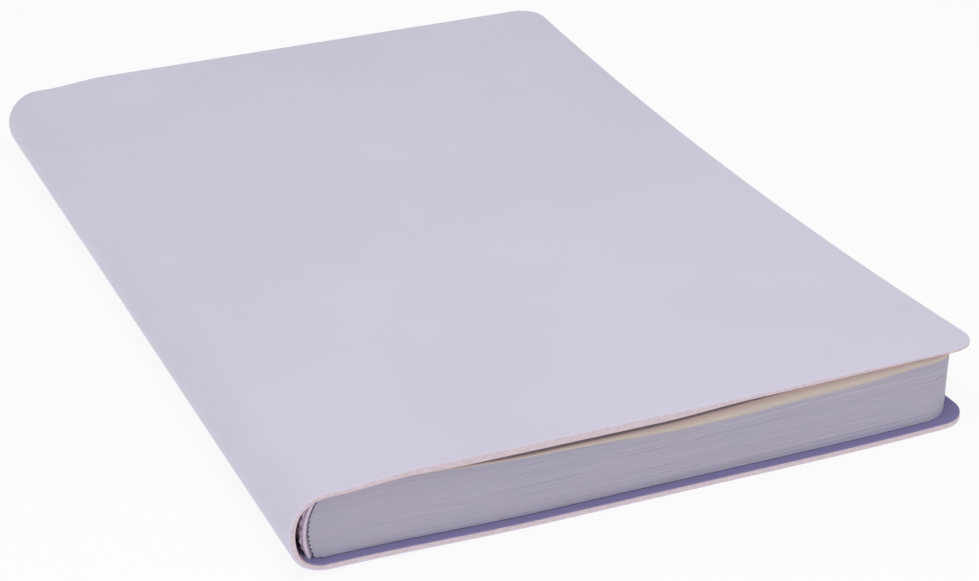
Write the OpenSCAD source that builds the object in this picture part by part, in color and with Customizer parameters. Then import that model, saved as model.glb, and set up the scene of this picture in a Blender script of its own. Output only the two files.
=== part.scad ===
// A closed soft-cover planner that lies on its back cover: a rounded page block with
// bands at head and tail, inside one wrap-around cover whose front half has warped.
// Every module below is written in the book's own frame: x runs from the outermost line
// of the spine to the fore edge, y from the tail to the head, z up from the surface that
// the planner lies on. placed() then centres the book over the origin.

/* [Cover] */
// Width of the closed cover, spine to fore edge
cover_width = 148; // [120:1:180]
// Length of the cover, tail to head
cover_length = 216; // [180:1:260]
// Thickness of the cover sheet
cover_thick = 1.2; // [0.8:0.1:1.5]
// Outer thickness of the closed planner along its spine
spine_width = 16.4; // [15:0.2:19]
// Distance from the spine's outermost line to the lines that the covers open on
hinge_inset = 10; // [9.8:0.1:14]
// Gap between the spine strip and each cover at those lines
hinge_gap = 0.2; // [0.1:0.05:0.4]
// Corner radius of the covers at the fore edge
cover_corner = 6.5; // [4:0.5:14]
// Distance that the back cover stops short of the front one at the fore edge
back_cover_short = 0.5; // [0:0.1:2]

/* [Warp] */
// Lift of the back cover along its hinge line
back_spine_lift = 0.9; // [0.2:0.1:1.2]
// Where the back cover comes down onto the surface, from the spine
back_flat_start = 52; // [30:1:60]
// Where the back cover leaves the surface again, from the spine
back_flat_end = 111; // [90:1:116]
// Lift of the back cover at the fore edge
back_fore_lift = 0.8; // [0.4:0.1:2]
// Rise of the front cover just past its hinge line
shoulder_rise = 1.1; // [0.2:0.1:1.4]
// Width of that rise
shoulder_width = 16; // [10:1:30]
// Rise of the front cover towards the fore edge, at the head
head_rise = 2.2; // [0:0.1:3]
// Curl of the front cover's corner at the tail
corner_curl = 0.5; // [0:0.1:3]
// Sag of the front cover at the middle of the fore edge
fore_sag = 3.8; // [0:0.1:4.5]

/* [Page block] */
// Square of the cover past the pages at head and tail
end_square = 2.1; // [1:0.1:5]
// Square of the cover past the pages at the fore edge
fore_square = 2.2; // [1:0.1:5]
// Corner radius of the pages at the fore edge
page_corner = 8; // [3:0.5:12]
// Radius of the rounded back of the page block
back_round = 12; // [10:0.1:14]
// How far the outermost line of that back lies below the middle of the spine
back_drop = 1.3; // [-0.3:0.1:1.5]
// Depth of the hollow between the spine strip and the back of the page block
hollow_back = 3.5; // [3:0.1:4.5]
// Radius of the hollow that the fore edge of the pages has
fore_hollow = 200; // [100:10:500]
// Height of the deepest line of that hollow
fore_hollow_height = 8; // [2:0.5:12]

/* [Endpapers] */
// Thickness of the paper pasted inside each cover
lining_thick = 0.2; // [0.1:0.05:0.3]
// Distance from the edges of the front cover to its paper
front_lining_inset = 1.5; // [0:0.1:4]
// Thickness of the loose leaf at each side of the page block
flyleaf_thick = 0.25; // [0.15:0.05:0.4]
// Gap between the back cover's lining and the leaf that lies on it
back_gap = 0.1; // [0.05:0.05:0.3]
// Gap between the front cover's lining and the leaf under it
front_gap = 0.3; // [0.2:0.05:0.6]
// Further opening of that gap along the tail, where the cover stands off the pages
mouth_gap = 2; // [0:0.1:2.6]

/* [Spine] */
// Extra thickness of the spine strip along its outermost line, where it has an inlay
spine_inlay = 0.6; // [0:0.1:1]
// Radius of the inside of that inlay
inlay_round = 9.5; // [8:0.5:14]
// Thickness of the cloth glued round the back of the page block
spine_lining_thick = 0.3; // [0.2:0.05:0.4]
// Distance from each end of the pages to that cloth
spine_lining_inset = 1; // [0.5:0.5:10]
// Radius of the bead of the head and tail bands
bead_radius = 0.45; // [0.35:0.05:0.65]
// Thickness of the tape that carries the bead
tape_thick = 0.3; // [0.2:0.05:0.4]
// Width of that tape, glued over the spine's cloth
tape_width = 8; // [5:0.5:14]
// Clearance between those pieces and the spine strip
hollow_clearance = 0.15; // [0.1:0.05:0.3]

/* [Hidden] */
$fn = 96;

// Steps of the warped sheets: across the shoulder, on to the fore edge, and tail to head
shoulder_steps = 4;
width_steps = 10;
length_steps = 12;
// What a warped sheet is made too large by, before it is cut to its outline
trim = 1;
// Height that every cut reaches, past the top of the book
clear_height = spine_width + back_spine_lift + shoulder_rise + head_rise + corner_curl + 5;

spine_radius = spine_width / 2;
spine_bore = spine_radius - cover_thick;
spine_centre_z = back_spine_lift + spine_radius;
back_round_height = spine_centre_z - back_drop;
hinge_top = back_spine_lift + spine_width;
cover_fore = cover_width - hinge_inset;
back_cover_width = cover_width - back_cover_short;
block_back = cover_thick + hollow_back;
block_fore = cover_width - fore_square;
back_centre_x = block_back + back_round;
// The rounded ends of a bead are a little smaller than the bead that they close
bead_end = 0.94 * bead_radius;

// Where the covers' grids have their lines
fore_lines = [for (i = [1:width_steps])
    hinge_inset + shoulder_width + (cover_fore - shoulder_width + trim) * i / width_steps];
shoulder_lines = [for (i = [0:shoulder_steps]) hinge_inset + shoulder_width * i / shoulder_steps];
cover_lines = concat([hinge_inset + hinge_gap], [for (i = [1:shoulder_steps]) shoulder_lines[i]], fore_lines);
page_lines = concat([block_back - trim], shoulder_lines, fore_lines);
length_lines = [for (i = [0:length_steps]) -trim + (cover_length + 2 * trim) * i / length_steps];
end_lines = [-trim, cover_length + trim];

// A smooth step from 0 to 1 as t goes from 0 to 1
function step01(t) = let (c = max(0, min(1, t))) c * c * (3 - 2 * c);
// Share of the way from the hinge line to the fore edge
function across(x) = max(0, (x - hinge_inset) / cover_fore);
// Share of the way from the head to the tail
function tailward(y) = 1 - y / cover_length;

// Underside of the back cover: lifted at the hinge line, flat, and lifted at the fore edge
function back_under(x) =
    back_spine_lift * (1 - step01((x - hinge_inset) / (back_flat_start - hinge_inset)))
    + back_fore_lift * pow(max(0, (x - back_flat_end) / (cover_width - back_flat_end)), 2);
// Top of the front cover: a shoulder, a rise towards the head's corner, a curl at the
// tail's corner, and a sag between the two corners
function front_top(x, y) = let (u = across(x), w = tailward(y))
    hinge_top
    + shoulder_rise * step01((x - hinge_inset) / shoulder_width)
    + head_rise * (1 - w) * u
    + corner_curl * w * w * pow(u, 4)
    - fore_sag * u * u * 4 * w * (1 - w);
// Gap between the front lining and its leaf, wider in the tail's mouth
function front_space(x, y) = let (u = across(x), w = max(0, tailward(y)))
    front_gap + mouth_gap * w * w * w * step01(u / 0.3) * step01((0.8 - u) / 0.35);

function front_under(x, y) = front_top(x, y) - cover_thick;
function front_lining_under(x, y) = front_under(x, y) - lining_thick;
function flyleaf_top(x, y) = front_lining_under(x, y) - front_space(x, y);
function block_top(x, y) = flyleaf_top(x, y) - flyleaf_thick;
function back_top(x, y) = back_under(x) + cover_thick;
function back_lining_top(x, y) = back_top(x, y) + lining_thick;
function back_leaf_under(x, y) = back_lining_top(x, y) + back_gap;
function block_under(x, y) = back_leaf_under(x, y) + flyleaf_thick;

// The book stands centred over the origin, on z = 0
module placed() {
    translate([-cover_width / 2, -cover_length / 2, 0]) children();
}

// The solid between two heights over a grid of x and y lines
module warped_slab(xs, ys, low, high) {
    nx = len(xs);
    ny = len(ys);
    half = nx * ny;
    points = concat(
        [for (y = ys) for (x = xs) [x, y, low(x, y)]],
        [for (y = ys) for (x = xs) [x, y, high(x, y)]]);
    at = function (i, j) j * nx + i;
    sheets = [for (j = [0:ny - 2]) for (i = [0:nx - 2])
        let (a = at(i, j), b = at(i + 1, j), c = at(i + 1, j + 1), d = at(i, j + 1))
        each [[a, b, c], [a, c, d], [half + a, half + c, half + b], [half + a, half + d, half + c]]];
    ends = [for (i = [0:nx - 2])
        let (a = at(i, 0), b = at(i + 1, 0), c = at(i, ny - 1), d = at(i + 1, ny - 1))
        each [[a, half + a, half + b, b], [c, d, half + d, half + c]]];
    sides = [for (j = [0:ny - 2])
        let (a = at(0, j), b = at(0, j + 1), c = at(nx - 1, j), d = at(nx - 1, j + 1))
        each [[a, b, half + b, half + a], [c, half + c, half + d, d]]];
    polyhedron(points, concat(sheets, ends, sides));
}

// A plan that is square at its spine side and rounded at its two fore corners
module leaf_plan(x_from, x_to, y_from, y_to, corner) {
    translate([x_from, y_from]) square([x_to - x_from - corner, y_to - y_from]);
    translate([x_from, y_from + corner]) square([x_to - x_from, y_to - y_from - 2 * corner]);
    for (y = [y_from + corner, y_to - corner])
        translate([x_to - corner, y]) circle(r = corner);
}

// Cuts its children to the outline of a cover of some width, or to one smaller by an inset
module cut_to_cover(width = cover_width, inset = 0) {
    intersection() {
        children();
        linear_extrude(clear_height)
            leaf_plan(hinge_inset + hinge_gap, width - inset, inset, cover_length - inset,
                cover_corner - inset);
    }
}

// Carries a profile drawn in x and z along the length of the book
module along_length(from, to) {
    translate([0, to, 0]) rotate([90, 0, 0]) linear_extrude(to - from) children();
}

// The profile that the leaves share: a rounded back that keeps clear of the spine strip, and
// a hollow fore edge
module leaf_profile() {
    difference() {
        intersection() {
            union() {
                translate([back_centre_x, back_round_height]) circle(r = back_round);
                translate([back_centre_x, back_round_height - back_round])
                    square([cover_width, clear_height]);
            }
            union() {
                translate([spine_radius, spine_centre_z]) circle(r = spine_bore - back_gap);
                translate([spine_radius, 0]) square([cover_width, clear_height]);
            }
        }
        translate([block_fore + fore_hollow - fore_flare(), fore_hollow_height])
            circle(r = fore_hollow, $fn = 360);
    }
}
// How far the topmost leaf stands past the deepest line of the fore edge
function fore_flare() = let (rise = hinge_top - fore_hollow_height)
    fore_hollow - sqrt(fore_hollow * fore_hollow - rise * rise);

// Cuts its children to the outline of the trimmed leaves
module cut_to_leaves() {
    intersection() {
        children();
        along_length(0, cover_length) leaf_profile();
        linear_extrude(clear_height)
            leaf_plan(0, block_fore, end_square, cover_length - end_square, page_corner);
    }
}

// All the bound leaves of the planner, with a rounded back and a hollow fore edge
module page_block() {
    color([0.67, 0.64, 0.71]) placed() cut_to_leaves()
        warped_slab(page_lines, length_lines,
            function (x, y) block_under(x, y), function (x, y) block_top(x, y));
}

// The cream leaf that lies over the pages
module front_flyleaf() {
    color([0.85, 0.8, 0.72]) placed() cut_to_leaves()
        warped_slab(page_lines, length_lines,
            function (x, y) block_top(x, y), function (x, y) flyleaf_top(x, y));
}

// The leaf that the pages lie on
module back_flyleaf() {
    color([0.72, 0.69, 0.76]) placed() cut_to_leaves()
        warped_slab(page_lines, end_lines,
            function (x, y) back_leaf_under(x, y), function (x, y) block_under(x, y));
}

// Angles that the rounded back of the page block spans, below and above its outermost line
back_angles = [
    asin((back_round_height - block_under(hinge_inset, 0)) / back_round),
    asin((block_top(hinge_inset, 0) - back_round_height) / back_round)];
// The same for a piece round that back, at a radius, that keeps a margin from the spine strip
function clear_angles(radius, margin) = [for (k = [0, 1]) max([for (i = [0:100])
    let (angle = back_angles[k] * i / 100,
        across = back_centre_x - radius * cos(angle) - spine_radius,
        up = back_round_height + (2 * k - 1) * radius * sin(angle) - spine_centre_z)
    if (norm([across, up]) < spine_bore - margin) angle])];

// A profile turned round the axis of the page block's back, between an angle below its
// outermost line and one above it
module round_back(angles) {
    translate([back_centre_x, 0, back_round_height])
        rotate([0, -90, 0]) rotate([90, 0, 0]) rotate([0, 0, 90 - angles[1]])
            rotate_extrude(angle = angles[0] + angles[1]) children();
}

// The cloth glued round the back of the page block
module spine_lining() {
    cloth_length = cover_length - 2 * (end_square + spine_lining_inset);
    color([0.83, 0.81, 0.78]) placed()
        round_back(clear_angles(back_round + spine_lining_thick, hollow_clearance))
            translate([back_round, -(end_square + spine_lining_inset) - cloth_length])
                square([spine_lining_thick, cloth_length]);
}

// A bead on a tape, glued round one end of the page block's back
module band() {
    bead_path = back_round + spine_lining_thick + bead_radius;
    angles = clear_angles(bead_path, bead_radius + hollow_clearance);
    round_back(angles) {
        translate([bead_path, -end_square]) circle(r = bead_radius, $fn = 32);
        translate([back_round + spine_lining_thick, -end_square - tape_width])
            square([tape_thick, tape_width]);
    }
    for (angle = [-angles[0], angles[1]])
        translate([back_centre_x - bead_path * cos(angle), end_square,
                back_round_height + bead_path * sin(angle)])
            sphere(r = bead_end, $fn = 32);
}

// The band at the tail, in the mouth of the spine
module tail_band() {
    color([0.78, 0.73, 0.81]) placed() band();
}

// The same band at the head
module head_band() {
    color([0.78, 0.73, 0.81]) placed() translate([0, cover_length, 0]) mirror([0, 1, 0]) band();
}

// The strip of the cover that bends round the spine, between the two hinge lines, with an
// inlay that makes it thicker and its inside flatter along its outermost line
module spine_cover() {
    strip_end = hinge_inset - spine_radius;
    color([0.8, 0.78, 0.85]) placed() along_length(0, cover_length)
        translate([spine_radius, spine_centre_z]) {
            difference() {
                circle(r = spine_radius, $fn = 180);
                intersection() {
                    circle(r = spine_bore, $fn = 180);
                    translate([inlay_round + spine_inlay - spine_bore, 0]) circle(r = inlay_round, $fn = 180);
                }
                translate([0, -spine_width]) square(2 * spine_width);
            }
            translate([0, spine_bore]) square([strip_end, cover_thick]);
            translate([0, -spine_radius]) square([strip_end, cover_thick]);
        }
}

// The front of the cover, which sags at the fore edge and curls at its tail corner
module front_cover() {
    color([0.82, 0.8, 0.87]) placed() cut_to_cover()
        warped_slab(cover_lines, length_lines,
            function (x, y) front_under(x, y), function (x, y) front_top(x, y));
}

// The paper pasted inside the front cover
module front_lining() {
    color([0.43, 0.43, 0.6]) placed() cut_to_cover(inset = front_lining_inset)
        warped_slab(cover_lines, length_lines,
            function (x, y) front_lining_under(x, y), function (x, y) front_under(x, y));
}

// The back of the cover, which the planner lies on
module back_cover() {
    color([0.82, 0.8, 0.87]) placed() cut_to_cover(back_cover_width)
        warped_slab(cover_lines, end_lines,
            function (x, y) back_under(x), function (x, y) back_top(x, y));
}

// The paper pasted inside the back cover
module back_lining() {
    color([0.43, 0.43, 0.6]) placed() cut_to_cover(back_cover_width)
        warped_slab(cover_lines, end_lines,
            function (x, y) back_top(x, y), function (x, y) back_lining_top(x, y));
}

page_block();
front_flyleaf();
back_flyleaf();
spine_lining();
head_band();
tail_band();
spine_cover();
front_cover();
front_lining();
back_cover();
back_lining();
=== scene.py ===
"""Builds the looks of a closed soft-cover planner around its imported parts.

Shapes are worked out in the book's own frame: x runs from the outermost line of the spine to
the fore edge, y from the tail to the head, and z up from the surface that the planner lies on.
place() then centres them over the origin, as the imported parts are. All lengths are metres.
"""

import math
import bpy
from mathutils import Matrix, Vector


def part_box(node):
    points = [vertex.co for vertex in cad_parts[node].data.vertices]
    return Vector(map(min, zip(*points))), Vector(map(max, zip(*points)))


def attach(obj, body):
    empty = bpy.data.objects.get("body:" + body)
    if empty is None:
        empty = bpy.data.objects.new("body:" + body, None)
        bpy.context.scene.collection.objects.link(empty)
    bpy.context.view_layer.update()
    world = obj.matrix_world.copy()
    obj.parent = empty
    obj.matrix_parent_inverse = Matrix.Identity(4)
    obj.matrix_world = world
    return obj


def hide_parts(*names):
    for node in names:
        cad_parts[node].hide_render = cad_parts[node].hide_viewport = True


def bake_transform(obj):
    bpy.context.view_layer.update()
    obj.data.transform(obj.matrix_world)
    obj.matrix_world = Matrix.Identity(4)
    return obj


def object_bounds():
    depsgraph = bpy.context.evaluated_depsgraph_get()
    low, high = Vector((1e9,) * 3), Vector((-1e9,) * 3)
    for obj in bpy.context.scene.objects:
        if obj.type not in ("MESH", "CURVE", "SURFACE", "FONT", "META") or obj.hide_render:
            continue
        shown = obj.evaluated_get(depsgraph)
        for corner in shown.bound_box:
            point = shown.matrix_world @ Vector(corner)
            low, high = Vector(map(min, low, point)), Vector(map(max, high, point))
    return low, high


bl_info = {
    "name": "Soft-cover planner",
    "version": (1, 0, 0),
    "blender": (4, 5, 0),
    "location": "3D View > Sidebar > Planner",
    "description": "Builds the cover, papers, leaves, bands and stage of a soft-cover planner",
    "category": "Add Mesh",
}

import bpy
import numpy as np
from bpy.props import FloatProperty, FloatVectorProperty, IntProperty, PointerProperty
from bpy.types import Operator, Panel, PropertyGroup
from mathutils import Matrix

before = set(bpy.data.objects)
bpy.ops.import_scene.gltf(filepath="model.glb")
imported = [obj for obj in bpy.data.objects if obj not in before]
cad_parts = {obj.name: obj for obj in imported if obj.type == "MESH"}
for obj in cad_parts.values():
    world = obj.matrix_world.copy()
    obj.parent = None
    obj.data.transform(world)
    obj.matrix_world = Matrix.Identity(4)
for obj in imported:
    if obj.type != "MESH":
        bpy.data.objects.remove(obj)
CAD_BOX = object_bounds()

MM = 0.001
BOOK_LOW, BOOK_HIGH = CAD_BOX
SPINE_LOW, SPINE_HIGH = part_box("spine_cover")
BACK_COVER_LOW, BACK_COVER_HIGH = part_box("back_cover")
BLOCK_LOW, BLOCK_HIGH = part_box("page_block")
COVER_WIDTH = BOOK_HIGH.x - BOOK_LOW.x
COVER_LENGTH = BOOK_HIGH.y - BOOK_LOW.y
SPINE_WIDTH = SPINE_HIGH.z - SPINE_LOW.z
SPINE_RADIUS = SPINE_WIDTH / 2
SPINE_CENTRE = SPINE_LOW.z + SPINE_RADIUS
HINGE_INSET = SPINE_HIGH.x - SPINE_LOW.x
HINGE_TOP = SPINE_HIGH.z
COVER_FORE = COVER_WIDTH - HINGE_INSET
BACK_COVER_WIDTH = BACK_COVER_HIGH.x - BOOK_LOW.x
END_SQUARE = BLOCK_LOW.y - BOOK_LOW.y
FORE_SQUARE = BOOK_HIGH.x - BLOCK_HIGH.x
BLOCK_BACK = BLOCK_LOW.x - BOOK_LOW.x
BLOCK_FORE = COVER_WIDTH - FORE_SQUARE


# Sizes and colours that a user would change

def length(title, words, millimetres):
    """A length property, given in millimetres."""
    return FloatProperty(name=title, description=words, default=millimetres * MM, unit="LENGTH",
                         precision=5)


def colour(title, words, value):
    """A linear colour."""
    return FloatVectorProperty(name=title, description=words, default=value, size=3, min=0.0, max=1.0,
                               subtype="COLOR")


class PlannerCover(PropertyGroup):
    """The cover sheet and how it has warped"""
    thickness: length("Thickness", "Thickness of the cover sheet", 1.2)
    corner: length("Corner", "Corner radius at the fore edge", 6.5)
    spine_inlay: length("Spine inlay", "Extra thickness along the spine's outermost line", 0.45)
    inlay_round: length("Inlay radius", "Radius of the inside of that inlay", 9.5)
    spine_swell: length("Spine swell", "How far the spine swells out low down", 0.25)
    edge_round: length("Edge rounding", "Rounding of the cut edge", 0.22)
    edge_lip: length("Edge lip", "How far the raw edge hangs lower over the mouth of the leaves", 0.65)
    edge_paring: length("Edge paring", "How much thinner the raw edge is at the fore corner", 0.42)
    fold_reach: length("Fold reach", "Half the width of the band that bends when a cover opens", 1.7)
    back_flat_start: length("Flat from", "Where the back cover comes down onto the surface", 52)
    back_flat_end: length("Flat to", "Where the back cover leaves the surface again", 111)
    back_fore_lift: length("Fore lift", "Lift of the back cover at the fore edge", 0.8)
    shoulder_rise: length("Shoulder rise", "Rise of the front cover past its hinge line", 1.1)
    shoulder_width: length("Shoulder width", "Width of that rise", 16)
    head_rise: length("Head rise", "Rise of the front cover towards its corner at the head", 2.2)
    corner_curl: length("Corner curl", "Curl of the front cover's corner at the tail", 0.5)
    fore_sag: length("Fore sag", "Sag of the front cover at the middle of the fore edge", 3.8)
    skin: colour("Skin", "Colour of the cover's outside", (0.64, 0.61, 0.74))
    backing: colour("Backing", "Colour of the cut edge", (0.64, 0.53, 0.58))
    # The inside colour is darker than the cut edge: partly the sheet's own colour, partly painted shade for
    # the spine's hollow and the gap under the front cover's raw edge.
    inside: colour("Inside", "Colour of the sheet's inside", (0.46, 0.33, 0.41))
    grain: length("Grain", "Size of one pebble of the skin's grain", 0.45)


class PlannerLeaves(PropertyGroup):
    """The papers and the trimmed leaves"""
    corner: length("Corner", "Corner radius of the leaves at the fore edge", 8)
    back_round: length("Back radius", "Radius of the rounded back", 12)
    back_round_height: length("Back height", "Height of the outermost line of that back", 7.8)
    fore_hollow: length("Fore hollow", "Radius of the hollow fore edge", 200)
    fore_hollow_height: length("Hollow height", "Height of the deepest line of that hollow", 8)
    lining_thick: length("Lining", "Thickness of the paper pasted inside each cover", 0.2)
    front_lining_inset: length("Lining inset", "From the front cover's edges to its paper", 1.5)
    flyleaf_thick: length("Flyleaf", "Thickness of the loose leaf at each side of the block", 0.25)
    back_gap: length("Back gap", "Gap between the back lining and its leaf", 0.1)
    front_gap: length("Front gap", "Gap between the front lining and its leaf", 0.3)
    mouth_gap: length("Mouth gap", "Further opening of that gap along the tail", 2.0)
    sections: IntProperty(name="Sections", description="Sewn sections in the block", default=13, min=4)
    fold_depth: length("Fold depth", "Depth of the notch between the folds of two sections", 0.65)
    cream_depth: length("Cream depth", "How far down the tint stops short at most", 3.1)
    tint: colour("Edge tint", "Colour of the tinted leaf edges", (0.405, 0.375, 0.46))
    cream: colour("Cream", "Colour of the leaves' bare edges", (0.58, 0.50, 0.44))
    paper: colour("Paper", "Colour of the flyleaves", (0.70, 0.63, 0.54))
    lining: colour("Lining", "Colour of the paper inside the covers", (0.235, 0.215, 0.405))


class PlannerSpine(PropertyGroup):
    """The cloth and the bands at the back of the leaves"""
    cloth_thick: length("Cloth", "Thickness of the cloth on the back of the block", 0.45)
    bead_radius: length("Bead radius", "Radius of the bead of a band", 0.45)
    bead_reach: length("Bead reach", "How far the bead runs down past the leaves", 1.1)
    clearance: length("Clearance", "Clearance between these pieces and the cover", 0.15)
    tape_thick: length("Tape", "Thickness of the tape that carries the bead", 0.3)
    tape_flare: length("Tape flare", "How far the tape stands out at its end", 1.0)
    tape_width: length("Tape width", "Width of that tape", 8)
    cloth_end: length("Cloth end", "From the leaves' ends to the cloth", 0.35)
    stitch: length("Stitch", "Pitch of the stitches over the bead", 0.6)
    cloth: colour("Cloth", "Colour of the spine's cloth", (0.42, 0.37, 0.42))
    band: colour("Band", "Colour of the bands", (0.66, 0.56, 0.69))


class PlannerStage(PropertyGroup):
    """The camera, the light and the floor"""
    azimuth: FloatProperty(name="Azimuth", description="Turn of the camera round the planner",
                           default=math.radians(-23.801), subtype="ANGLE")
    elevation: FloatProperty(name="Elevation", description="Height angle of the camera",
                             default=math.radians(26.13), subtype="ANGLE")
    roll: FloatProperty(name="Roll", description="Roll of the camera", default=math.radians(0.277),
                        subtype="ANGLE")
    target_x: length("Target x", "Aim of the camera, from the spine", 81.99)
    target_y: length("Target y", "Aim of the camera, from the tail", 96.22)
    distance: length("Distance", "Distance of the camera from its aim", 529.62)
    lens: FloatProperty(name="Lens", description="Focal length on a 36 mm sensor", default=85.27,
                        subtype="DISTANCE_CAMERA")
    floor: colour("Floor", "Colour of the floor", (0.93, 0.93, 0.93))
    sky_light: FloatProperty(name="Sky light", description="Level of the even light", default=0.62)
    key_light: FloatProperty(name="Key light", description="Power of the soft lamp, in watts", default=0.8)
    fill_light: FloatProperty(name="Fill light", description="Power of the low front lamp, in watts",
                              default=0.4)
    floor_glow: FloatProperty(name="Floor glow", description="Light from the lit floor", default=1.2)


# Heights of the warped sheets

def smooth_step(t):
    """Rises from 0 to 1 as t does, level at both ends: 3 t squared less 2 t cubed."""
    held = np.clip(t, 0.0, 1.0)
    return held * held * (3.0 - 2.0 * held)


def back_under(cover, x):
    """Underside of the back cover: a smooth fall from its lift at the hinge line, a flat
    stretch, and a parabola up to its lift at the fore edge."""
    fall = 1.0 - smooth_step((x - HINGE_INSET) / (cover.back_flat_start - HINGE_INSET))
    rise = np.maximum(0.0, (x - cover.back_flat_end) / (COVER_WIDTH - cover.back_flat_end))
    return SPINE_LOW.z * fall + cover.back_fore_lift * rise ** 2


def front_top(cover, x, y):
    """Top of the front cover. With u the share of the way to the fore edge and w the share of
    the way to the tail, it is a smooth step past the hinge line, plus a rise as (1 - w) u, plus
    a curl as w squared times u to the fourth, less a sag as u squared times 4 w (1 - w)."""
    u = np.maximum(0.0, (x - HINGE_INSET) / COVER_FORE)
    w = 1.0 - y / COVER_LENGTH
    return (HINGE_TOP + cover.shoulder_rise * smooth_step((x - HINGE_INSET) / cover.shoulder_width)
            + cover.head_rise * (1.0 - w) * u + cover.corner_curl * w ** 2 * u ** 4
            - cover.fore_sag * u ** 2 * 4.0 * w * (1.0 - w))


def mouth(x, y):
    """How far the cover stands open over the leaves, from 0 to 1. It fades as the cube of the
    way to the head and as smooth steps towards the spine and the fore edge."""
    u = np.maximum(0.0, (x - HINGE_INSET) / COVER_FORE)
    w = np.maximum(0.0, 1.0 - y / COVER_LENGTH)
    return w ** 3 * smooth_step(u / 0.3) * smooth_step((0.8 - u) / 0.35)


def front_space(leaves, x, y):
    """Gap between the front lining and its leaf: an even gap, and more in the mouth."""
    return leaves.front_gap + leaves.mouth_gap * mouth(x, y)


def lip(cover, x, y):
    """How far the underside of the raw edge hangs lower along the mouth, less how far it is
    pared away towards the fore corner. Both fade within a few millimetres of the edge."""
    starts = smooth_step((x - 12 * MM) / (25 * MM))
    ends = smooth_step((95 * MM - x) / (20 * MM))
    pared = cover.edge_paring * smooth_step((x - 80 * MM) / (55 * MM))
    inwards = np.minimum(y, COVER_WIDTH - x)
    tail_edge = smooth_step((1.3 * MM - y) / MM)
    any_edge = smooth_step((3.0 * MM - inwards) / (2.5 * MM))
    return cover.edge_lip * starts * ends * tail_edge - pared * any_edge


def flyleaf_top(cover, leaves, x, y):
    """Top of the front flyleaf: under the cover, its lining and the gap."""
    return front_top(cover, x, y) - cover.thickness - leaves.lining_thick - front_space(leaves, x, y)


def block_top(cover, leaves, x, y):
    """Top of the bound leaves, one flyleaf lower."""
    return flyleaf_top(cover, leaves, x, y) - leaves.flyleaf_thick


def back_leaf_under(cover, leaves, x):
    """Underside of the back flyleaf: over the cover, its lining and the gap."""
    return back_under(cover, x) + cover.thickness + leaves.lining_thick + leaves.back_gap


def block_under(cover, leaves, x):
    """Underside of the bound leaves, one flyleaf higher."""
    return back_leaf_under(cover, leaves, x) + leaves.flyleaf_thick


def leaf_back(leaves, z):
    """Back line of the leaf at height z: a circle about the height of its outermost line."""
    rise = np.clip(z - leaves.back_round_height, -leaves.back_round, leaves.back_round)
    return BLOCK_BACK + leaves.back_round - np.sqrt(leaves.back_round ** 2 - rise ** 2)


def leaf_fore(leaves, z):
    """Fore line of the leaf at height z: a wide circle, hollow towards the fore edge, that
    passes the block's fore line at the height of the hinge."""
    def hollow(height):
        return np.sqrt(leaves.fore_hollow ** 2 - (height - leaves.fore_hollow_height) ** 2)
    return BLOCK_FORE + hollow(HINGE_TOP) - hollow(z)


# Grids and meshes

def place(points):
    """Moves points from the book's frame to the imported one."""
    return points - np.array([COVER_WIDTH / 2, COVER_LENGTH / 2, 0.0])


def stack(x, y, z):
    """One array of points from three arrays that broadcast together."""
    return np.stack(np.broadcast_arrays(x, y, z), -1)


def grid_quads(index, closed=False):
    """Faces of a grid of vertex numbers. They face along the cross product of the direction
    of its columns and the direction of its rows. A closed grid joins its last column to its first."""
    if closed:
        index = np.concatenate([index, index[:, :1]], 1)
    return np.stack([index[:-1, :-1], index[:-1, 1:], index[1:, 1:], index[1:, :-1]], -1).reshape(-1, 4)


def rim_order(index):
    """The outermost vertex numbers of a grid: tail side, fore side, head side, spine side."""
    return np.concatenate([index[0, :-1], index[:-1, -1], index[-1, :0:-1], index[:0:-1, 0]])


def unit(vectors):
    """Vectors made one long."""
    return vectors / np.maximum(np.linalg.norm(vectors, axis=-1, keepdims=True), 1e-12)


def slab(upper, lower, edge_round, open_start=False):
    """A closed sheet between two grids of points. Its rim stands out from both faces by
    edge_round in quarter circles: out = r sin a and depth = r (1 - cos a) from either face. With
    open_start the spine side is cut off flat instead, where another sheet goes on.
    Returns points, faces, and for each face 0 on the upper side, 1 on the lower, and 2 to 6 on the
    rim's strips from the upper side to the lower."""
    rows, columns = upper.shape[:2]
    count = rows * columns
    upper_index = np.arange(count).reshape(rows, columns)
    order = rim_order(upper_index)
    loop = upper.reshape(-1, 3)[order]
    through = lower.reshape(-1, 3)[order] - loop
    after = unit(np.roll(loop, -1, 0) - loop)
    before = np.roll(after, 1, 0)
    stands = np.ones((len(order), 1))
    if open_start:
        head_corner = len(order) - (rows - 1)
        before[0] = after[0]
        after[head_corner] = before[head_corner]
        stands[head_corner + 1:] = 0.0
    depth = np.linalg.norm(through, axis=-1, keepdims=True)
    down = unit(through)
    outward = unit(np.cross(down, unit(before + after))) * stands
    bend = edge_round * math.sqrt(0.5)
    drops = [edge_round - bend, edge_round, depth - edge_round, depth - edge_round + bend]
    rings = [loop + down * drop + outward * out
             for drop, out in zip(drops, [bend, edge_round, edge_round, bend])]
    ring_index = 2 * count + np.arange(4 * len(order)).reshape(4, -1)
    rim_index = np.concatenate([order[None], ring_index, order[None] + count])
    faces = [grid_quads(upper_index), grid_quads(upper_index + count)[:, ::-1],
             grid_quads(rim_index, closed=True)[:, ::-1]]
    points = np.concatenate([upper.reshape(-1, 3), lower.reshape(-1, 3), *rings])
    sides = np.repeat(np.arange(7), [len(faces[0]), len(faces[1])] + [len(order)] * 5)
    return points, np.concatenate(faces), sides


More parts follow.
